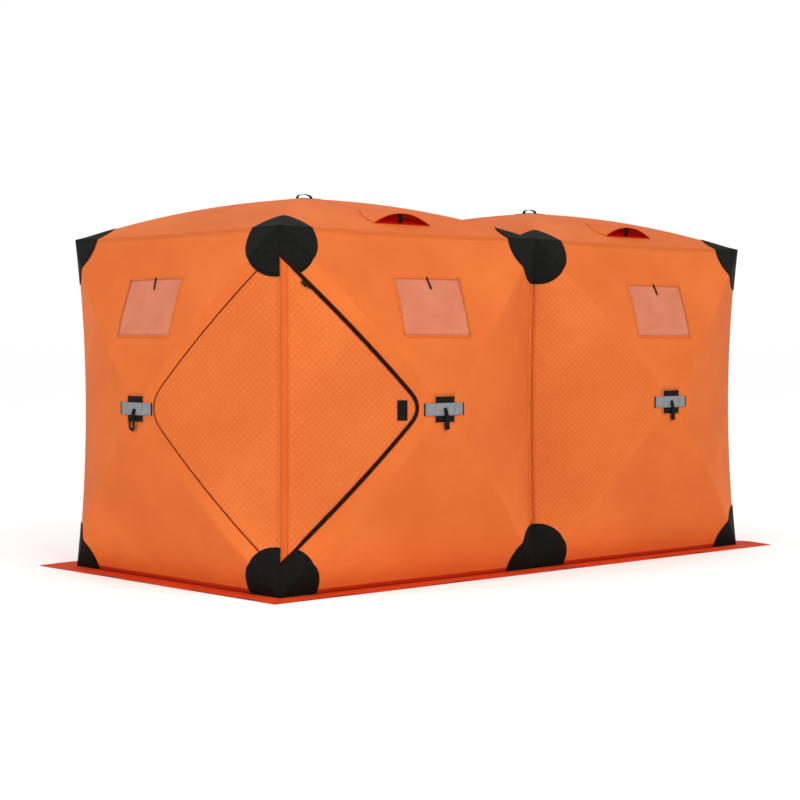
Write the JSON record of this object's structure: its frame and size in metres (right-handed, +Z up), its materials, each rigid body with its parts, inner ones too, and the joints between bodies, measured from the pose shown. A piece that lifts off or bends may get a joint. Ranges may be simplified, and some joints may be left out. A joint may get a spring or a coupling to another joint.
{
  "type": "ice fishing shelter",
  "caption": "Pop-up ice fishing shelter of cubes set side by side: cloth walls and roofs pushed out by hubs and bowed poles, with corner doors, windows, vents and a snow skirt.",
  "frame": {"origin": "on the ground under the middle of the shelter", "axes": "+X along the two cubes, from the left end to the right end; +Y from the front to the back; +Z up"},
  "size_m": [4.064, 2.259, 2.045],
  "materials": {
    "orange_cloth": "coated oxford weave, semi-matt",
    "quilted_cloth": "quilted in small diamonds, semi-matt",
    "skirt_cloth": "coated weave, matt",
    "patch_cloth": "heavy black reinforcement cloth, matt",
    "black_strap": "woven webbing, matt",
    "grey_webbing": "woven reflective webbing, satin",
    "vent_lining": "red lining cloth seen inside the vents",
    "window_film": "translucent film over the cloth opening",
    "hub_plastic": "moulded, satin",
    "pole_glass_fibre": "ground glass-fibre rod, satin",
    "zip_metal": "dark coated zip slider"
  },
  "bodies": {
    "root": {"front_left_cloth": "orange_cloth", "front_right_cloth": "orange_cloth", "right_end_cloth": "orange_cloth", "back_right_cloth": "orange_cloth", "back_left_cloth": "orange_cloth", "left_end_cloth": "orange_cloth", "left_roof_cloth": "orange_cloth", "right_roof_cloth": "orange_cloth", "front_door_sewn_side": "quilted_cloth", "back_door_sewn_side": "quilted_cloth", "left_vent_hood": "orange_cloth", "right_vent_hood": "orange_cloth", "snow_skirt": "skirt_cloth"},
    "front_left_hub": {"front_left_hub": "hub_plastic"},
    "front_left_pole_lower_left": {"front_left_pole_lower_left": "pole_glass_fibre"},
    "front_left_pole_lower_right": {"front_left_pole_lower_right": "pole_glass_fibre"},
    "front_left_pole_upper_right": {"front_left_pole_upper_right": "pole_glass_fibre"},
    "front_left_pole_upper_left": {"front_left_pole_upper_left": "pole_glass_fibre"},
    "front_right_hub": {"front_right_hub": "hub_plastic"},
    "front_right_pole_lower_left": {"front_right_pole_lower_left": "pole_glass_fibre"},
    "front_right_pole_lower_right": {"front_right_pole_lower_right": "pole_glass_fibre"},
    "front_right_pole_upper_right": {"front_right_pole_upper_right": "pole_glass_fibre"},
    "front_right_pole_upper_left": {"front_right_pole_upper_left": "pole_glass_fibre"},
    "right_end_hub": {"right_end_hub": "hub_plastic"},
    "right_end_pole_lower_left": {"right_end_pole_lower_left": "pole_glass_fibre"},
    "right_end_pole_lower_right": {"right_end_pole_lower_right": "pole_glass_fibre"},
    "right_end_pole_upper_right": {"right_end_pole_upper_right": "pole_glass_fibre"},
    "right_end_pole_upper_left": {"right_end_pole_upper_left": "pole_glass_fibre"},
    "back_right_hub": {"back_right_hub": "hub_plastic"},
    "back_right_pole_lower_left": {"back_right_pole_lower_left": "pole_glass_fibre"},
    "back_right_pole_lower_right": {"back_right_pole_lower_right": "pole_glass_fibre"},
    "back_right_pole_upper_right": {"back_right_pole_upper_right": "pole_glass_fibre"},
    "back_right_pole_upper_left": {"back_right_pole_upper_left": "pole_glass_fibre"},
    "back_left_hub": {"back_left_hub": "hub_plastic"},
    "back_left_pole_lower_left": {"back_left_pole_lower_left": "pole_glass_fibre"},
    "back_left_pole_lower_right": {"back_left_pole_lower_right": "pole_glass_fibre"},
    "back_left_pole_upper_right": {"back_left_pole_upper_right": "pole_glass_fibre"},
    "back_left_pole_upper_left": {"back_left_pole_upper_left": "pole_glass_fibre"},
    "left_end_hub": {"left_end_hub": "hub_plastic"},
    "left_end_pole_lower_left": {"left_end_pole_lower_left": "pole_glass_fibre"},
    "left_end_pole_lower_right": {"left_end_pole_lower_right": "pole_glass_fibre"},
    "left_end_pole_upper_right": {"left_end_pole_upper_right": "pole_glass_fibre"},
    "left_end_pole_upper_left": {"left_end_pole_upper_left": "pole_glass_fibre"},
    "left_roof_hub": {"left_roof_hub": "hub_plastic"},
    "left_roof_pole_lower_left": {"left_roof_pole_lower_left": "pole_glass_fibre"},
    "left_roof_pole_lower_right": {"left_roof_pole_lower_right": "pole_glass_fibre"},
    "left_roof_pole_upper_right": {"left_roof_pole_upper_right": "pole_glass_fibre"},
    "left_roof_pole_upper_left": {"left_roof_pole_upper_left": "pole_glass_fibre"},
    "right_roof_hub": {"right_roof_hub": "hub_plastic"},
    "right_roof_pole_lower_left": {"right_roof_pole_lower_left": "pole_glass_fibre"},
    "right_roof_pole_lower_right": {"right_roof_pole_lower_right": "pole_glass_fibre"},
    "right_roof_pole_upper_right": {"right_roof_pole_upper_right": "pole_glass_fibre"},
    "right_roof_pole_upper_left": {"right_roof_pole_upper_left": "pole_glass_fibre"},
    "front_door_flap": {"front_door_flap": "quilted_cloth"},
    "front_door_zip_slider": {"front_door_zip_slider": "zip_metal"},
    "back_door_flap": {"back_door_flap": "quilted_cloth"},
    "back_door_zip_slider": {"back_door_zip_slider": "zip_metal"},
    "left_vent_prop": {"left_vent_prop": "black_strap"},
    "right_vent_prop": {"right_vent_prop": "black_strap"}
  },
  "joints": [
    {"name": "front_left_hub_pop", "type": "slide", "parent": "root", "child": "front_left_hub", "axis": [0, -1, 0], "range_m": [-0.44, 0]},
    {"name": "front_left_pole_lower_left_hinge", "type": "hinge", "parent": "front_left_hub", "child": "front_left_pole_lower_left", "pos_m": [-0.93762, -1.1005, 0.87441], "axis": [0.7118, 0, -0.7024], "range_deg": [-20, 0]},
    {"name": "front_left_pole_lower_right_hinge", "type": "hinge", "parent": "front_left_hub", "child": "front_left_pole_lower_right", "pos_m": [-0.8673, -1.1005, 0.87449], "axis": [0.7102, 0, 0.704], "range_deg": [-20, 0]},
    {"name": "front_left_pole_upper_right_hinge", "type": "hinge", "parent": "front_left_hub", "child": "front_left_pole_upper_right", "pos_m": [-0.86721, -1.1005, 0.94542], "axis": [-0.7085, 0, 0.7057], "range_deg": [-20, 0]},
    {"name": "front_left_pole_upper_left_hinge", "type": "hinge", "parent": "front_left_hub", "child": "front_left_pole_upper_left", "pos_m": [-0.93771, -1.1005, 0.9455], "axis": [-0.71, 0, -0.7042], "range_deg": [-20, 0]},
    {"name": "front_right_hub_pop", "type": "slide", "parent": "root", "child": "front_right_hub", "axis": [0, -1, 0], "range_m": [-0.44, 0]},
    {"name": "front_right_pole_lower_left_hinge", "type": "hinge", "parent": "front_right_hub", "child": "front_right_pole_lower_left", "pos_m": [0.8673, -1.1005, 0.87449], "axis": [0.7102, 0, -0.704], "range_deg": [-20, 0]},
    {"name": "front_right_pole_lower_right_hinge", "type": "hinge", "parent": "front_right_hub", "child": "front_right_pole_lower_right", "pos_m": [0.93762, -1.1005, 0.87441], "axis": [0.7118, 0, 0.7024], "range_deg": [-20, 0]},
    {"name": "front_right_pole_upper_right_hinge", "type": "hinge", "parent": "front_right_hub", "child": "front_right_pole_upper_right", "pos_m": [0.93771, -1.1005, 0.9455], "axis": [-0.71, 0, 0.7042], "range_deg": [-20, 0]},
    {"name": "front_right_pole_upper_left_hinge", "type": "hinge", "parent": "front_right_hub", "child": "front_right_pole_upper_left", "pos_m": [0.86721, -1.1005, 0.94542], "axis": [-0.7085, 0, -0.7057], "range_deg": [-20, 0]},
    {"name": "right_end_hub_pop", "type": "slide", "parent": "root", "child": "right_end_hub", "axis": [1, 0, 0], "range_m": [-0.44, 0]},
    {"name": "right_end_pole_lower_left_hinge", "type": "hinge", "parent": "right_end_hub", "child": "right_end_pole_lower_left", "pos_m": [2.003, -0.03512, 0.87441], "axis": [0, 0.7118, -0.7024], "range_deg": [-20, 0]},
    {"name": "right_end_pole_lower_right_hinge", "type": "hinge", "parent": "right_end_hub", "child": "right_end_pole_lower_right", "pos_m": [2.003, 0.03512, 0.87441], "axis": [0, 0.7118, 0.7024], "range_deg": [-20, 0]},
    {"name": "right_end_pole_upper_right_hinge", "type": "hinge", "parent": "right_end_hub", "child": "right_end_pole_upper_right", "pos_m": [2.003, 0.03521, 0.9455], "axis": [0, -0.71, 0.7042], "range_deg": [-20, 0]},
    {"name": "right_end_pole_upper_left_hinge", "type": "hinge", "parent": "right_end_hub", "child": "right_end_pole_upper_left", "pos_m": [2.003, -0.03521, 0.9455], "axis": [0, -0.71, -0.7042], "range_deg": [-20, 0]},
    {"name": "back_right_hub_pop", "type": "slide", "parent": "root", "child": "back_right_hub", "axis": [0, 1, 0], "range_m": [-0.44, 0]},
    {"name": "back_right_pole_lower_left_hinge", "type": "hinge", "parent": "back_right_hub", "child": "back_right_pole_lower_left", "pos_m": [0.93762, 1.1005, 0.87441], "axis": [-0.7118, 0, -0.7024], "range_deg": [-20, 0]},
    {"name": "back_right_pole_lower_right_hinge", "type": "hinge", "parent": "back_right_hub", "child": "back_right_pole_lower_right", "pos_m": [0.8673, 1.1005, 0.87449], "axis": [-0.7102, 0, 0.704], "range_deg": [-20, 0]},
    {"name": "back_right_pole_upper_right_hinge", "type": "hinge", "parent": "back_right_hub", "child": "back_right_pole_upper_right", "pos_m": [0.86721, 1.1005, 0.94542], "axis": [0.7085, 0, 0.7057], "range_deg": [-20, 0]},
    {"name": "back_right_pole_upper_left_hinge", "type": "hinge", "parent": "back_right_hub", "child": "back_right_pole_upper_left", "pos_m": [0.93771, 1.1005, 0.9455], "axis": [0.71, 0, -0.7042], "range_deg": [-20, 0]},
    {"name": "back_left_hub_pop", "type": "slide", "parent": "root", "child": "back_left_hub", "axis": [0, 1, 0], "range_m": [-0.44, 0]},
    {"name": "back_left_pole_lower_left_hinge", "type": "hinge", "parent": "back_left_hub", "child": "back_left_pole_lower_left", "pos_m": [-0.8673, 1.1005, 0.87449], "axis": [-0.7102, 0, -0.704], "range_deg": [-20, 0]},
    {"name": "back_left_pole_lower_right_hinge", "type": "hinge", "parent": "back_left_hub", "child": "back_left_pole_lower_right", "pos_m": [-0.93762, 1.1005, 0.87441], "axis": [-0.7118, 0, 0.7024], "range_deg": [-20, 0]},
    {"name": "back_left_pole_upper_right_hinge", "type": "hinge", "parent": "back_left_hub", "child": "back_left_pole_upper_right", "pos_m": [-0.93771, 1.1005, 0.9455], "axis": [0.71, 0, 0.7042], "range_deg": [-20, 0]},
    {"name": "back_left_pole_upper_left_hinge", "type": "hinge", "parent": "back_left_hub", "child": "back_left_pole_upper_left", "pos_m": [-0.86721, 1.1005, 0.94542], "axis": [0.7085, 0, -0.7057], "range_deg": [-20, 0]},
    {"name": "left_end_hub_pop", "type": "slide", "parent": "root", "child": "left_end_hub", "axis": [-1, 0, 0], "range_m": [-0.44, 0]},
    {"name": "left_end_pole_lower_left_hinge", "type": "hinge", "parent": "left_end_hub", "child": "left_end_pole_lower_left", "pos_m": [-2.003, 0.03512, 0.87441], "axis": [0, -0.7118, -0.7024], "range_deg": [-20, 0]},
    {"name": "left_end_pole_lower_right_hinge", "type": "hinge", "parent": "left_end_hub", "child": "left_end_pole_lower_right", "pos_m": [-2.003, -0.03512, 0.87441], "axis": [0, -0.7118, 0.7024], "range_deg": [-20, 0]},
    {"name": "left_end_pole_upper_right_hinge", "type": "hinge", "parent": "left_end_hub", "child": "left_end_pole_upper_right", "pos_m": [-2.003, -0.03521, 0.9455], "axis": [0, 0.71, 0.7042], "range_deg": [-20, 0]},
    {"name": "left_end_pole_upper_left_hinge", "type": "hinge", "parent": "left_end_hub", "child": "left_end_pole_upper_left", "pos_m": [-2.003, 0.03521, 0.9455], "axis": [0, 0.71, -0.7042], "range_deg": [-20, 0]},
    {"name": "left_roof_hub_pop", "type": "slide", "parent": "root", "child": "left_roof_hub", "axis": [0, 0, 1], "range_m": [-0.44, 0]},
    {"name": "left_roof_pole_lower_left_hinge", "type": "hinge", "parent": "left_roof_hub", "child": "left_roof_pole_lower_left", "pos_m": [-0.93785, -0.03535, 2.016], "axis": [0.7071, -0.7071, 0], "range_deg": [-20, 0]},
    {"name": "left_roof_pole_lower_right_hinge", "type": "hinge", "parent": "left_roof_hub", "child": "left_roof_pole_lower_right", "pos_m": [-0.86707, -0.03528, 2.016], "axis": [0.7055, 0.7087, 0], "range_deg": [-20, 0]},
    {"name": "left_roof_pole_upper_right_hinge", "type": "hinge", "parent": "left_roof_hub", "child": "left_roof_pole_upper_right", "pos_m": [-0.86707, 0.03528, 2.016], "axis": [-0.7055, 0.7087, 0], "range_deg": [-20, 0]},
    {"name": "left_roof_pole_upper_left_hinge", "type": "hinge", "parent": "left_roof_hub", "child": "left_roof_pole_upper_left", "pos_m": [-0.93785, 0.03535, 2.016], "axis": [-0.7071, -0.7071, 0], "range_deg": [-20, 0]},
    {"name": "right_roof_hub_pop", "type": "slide", "parent": "root", "child": "right_roof_hub", "axis": [0, 0, 1], "range_m": [-0.44, 0]},
    {"name": "right_roof_pole_lower_left_hinge", "type": "hinge", "parent": "right_roof_hub", "child": "right_roof_pole_lower_left", "pos_m": [0.86707, -0.03528, 2.016], "axis": [0.7055, -0.7087, 0], "range_deg": [-20, 0]},
    {"name": "right_roof_pole_lower_right_hinge", "type": "hinge", "parent": "right_roof_hub", "child": "right_roof_pole_lower_right", "pos_m": [0.93785, -0.03535, 2.016], "axis": [0.7071, 0.7071, 0], "range_deg": [-20, 0]},
    {"name": "right_roof_pole_upper_right_hinge", "type": "hinge", "parent": "right_roof_hub", "child": "right_roof_pole_upper_right", "pos_m": [0.93785, 0.03535, 2.016], "axis": [-0.7071, 0.7071, 0], "range_deg": [-20, 0]},
    {"name": "right_roof_pole_upper_left_hinge", "type": "hinge", "parent": "right_roof_hub", "child": "right_roof_pole_upper_left", "pos_m": [0.86707, 0.03528, 2.016], "axis": [-0.7055, -0.7087, 0], "range_deg": [-20, 0]},
    {"name": "front_door_flap_hinge", "type": "hinge", "parent": "root", "child": "front_door_flap", "pos_m": [-1.785, -0.9025, 0.91], "axis": [0, 0, 1], "range_deg": [-210, 0]},
    {"name": "back_door_flap_hinge", "type": "hinge", "parent": "root", "child": "back_door_flap", "pos_m": [1.785, 0.9025, 0.91], "axis": [0, 0, 1], "range_deg": [-210, 0]},
    {"name": "front_door_zip_slide", "type": "slide", "parent": "root", "child": "front_door_zip_slider", "axis": [0.6748, -0.2206, -0.7042], "range_m": [0, 0.6]},
    {"name": "back_door_zip_slide", "type": "slide", "parent": "root", "child": "back_door_zip_slider", "axis": [-0.6748, 0.2206, -0.7042], "range_m": [0, 0.6]},
    {"name": "left_vent_prop_fold", "type": "hinge", "parent": "root", "child": "left_vent_prop", "pos_m": [-0.8685, -0.74707, 1.87876], "axis": [1, 0, 0], "range_deg": [-62, 0]},
    {"name": "right_vent_prop_fold", "type": "hinge", "parent": "root", "child": "right_vent_prop", "pos_m": [0.9365, -0.74708, 1.87876], "axis": [1, 0, 0], "range_deg": [-62, 0]}
  ],
  "couplings": [
    {"joint": "front_left_pole_lower_left_hinge", "follows": "front_left_hub_pop", "rad_per_m": 0.7648},
    {"joint": "front_left_pole_lower_right_hinge", "follows": "front_left_hub_pop", "rad_per_m": 0.7632},
    {"joint": "front_left_pole_upper_right_hinge", "follows": "front_left_hub_pop", "rad_per_m": 0.765},
    {"joint": "front_left_pole_upper_left_hinge", "follows": "front_left_hub_pop", "rad_per_m": 0.7666},
    {"joint": "front_right_pole_lower_left_hinge", "follows": "front_right_hub_pop", "rad_per_m": 0.7632},
    {"joint": "front_right_pole_lower_right_hinge", "follows": "front_right_hub_pop", "rad_per_m": 0.7648},
    {"joint": "front_right_pole_upper_right_hinge", "follows": "front_right_hub_pop", "rad_per_m": 0.7666},
    {"joint": "front_right_pole_upper_left_hinge", "follows": "front_right_hub_pop", "rad_per_m": 0.765},
    {"joint": "right_end_pole_lower_left_hinge", "follows": "right_end_hub_pop", "rad_per_m": 0.7648},
    {"joint": "right_end_pole_lower_right_hinge", "follows": "right_end_hub_pop", "rad_per_m": 0.7648},
    {"joint": "right_end_pole_upper_right_hinge", "follows": "right_end_hub_pop", "rad_per_m": 0.7666},
    {"joint": "right_end_pole_upper_left_hinge", "follows": "right_end_hub_pop", "rad_per_m": 0.7666},
    {"joint": "back_right_pole_lower_left_hinge", "follows": "back_right_hub_pop", "rad_per_m": 0.7648},
    {"joint": "back_right_pole_lower_right_hinge", "follows": "back_right_hub_pop", "rad_per_m": 0.7632},
    {"joint": "back_right_pole_upper_right_hinge", "follows": "back_right_hub_pop", "rad_per_m": 0.765},
    {"joint": "back_right_pole_upper_left_hinge", "follows": "back_right_hub_pop", "rad_per_m": 0.7666},
    {"joint": "back_left_pole_lower_left_hinge", "follows": "back_left_hub_pop", "rad_per_m": 0.7632},
    {"joint": "back_left_pole_lower_right_hinge", "follows": "back_left_hub_pop", "rad_per_m": 0.7648},
    {"joint": "back_left_pole_upper_right_hinge", "follows": "back_left_hub_pop", "rad_per_m": 0.7666},
    {"joint": "back_left_pole_upper_left_hinge", "follows": "back_left_hub_pop", "rad_per_m": 0.765},
    {"joint": "left_end_pole_lower_left_hinge", "follows": "left_end_hub_pop", "rad_per_m": 0.7648},
    {"joint": "left_end_pole_lower_right_hinge", "follows": "left_end_hub_pop", "rad_per_m": 0.7648},
    {"joint": "left_end_pole_upper_right_hinge", "follows": "left_end_hub_pop", "rad_per_m": 0.7666},
    {"joint": "left_end_pole_upper_left_hinge", "follows": "left_end_hub_pop", "rad_per_m": 0.7666},
    {"joint": "left_roof_pole_lower_left_hinge", "follows": "left_roof_hub_pop", "rad_per_m": 0.7695},
    {"joint": "left_roof_pole_lower_right_hinge", "follows": "left_roof_hub_pop", "rad_per_m": 0.7678},
    {"joint": "left_roof_pole_upper_right_hinge", "follows": "left_roof_hub_pop", "rad_per_m": 0.7678},
    {"joint": "left_roof_pole_upper_left_hinge", "follows": "left_roof_hub_pop", "rad_per_m": 0.7695},
    {"joint": "right_roof_pole_lower_left_hinge", "follows": "right_roof_hub_pop", "rad_per_m": 0.7678},
    {"joint": "right_roof_pole_lower_right_hinge", "follows": "right_roof_hub_pop", "rad_per_m": 0.7695},
    {"joint": "right_roof_pole_upper_right_hinge", "follows": "right_roof_hub_pop", "rad_per_m": 0.7695},
    {"joint": "right_roof_pole_upper_left_hinge", "follows": "right_roof_hub_pop", "rad_per_m": 0.7678}
  ]
}
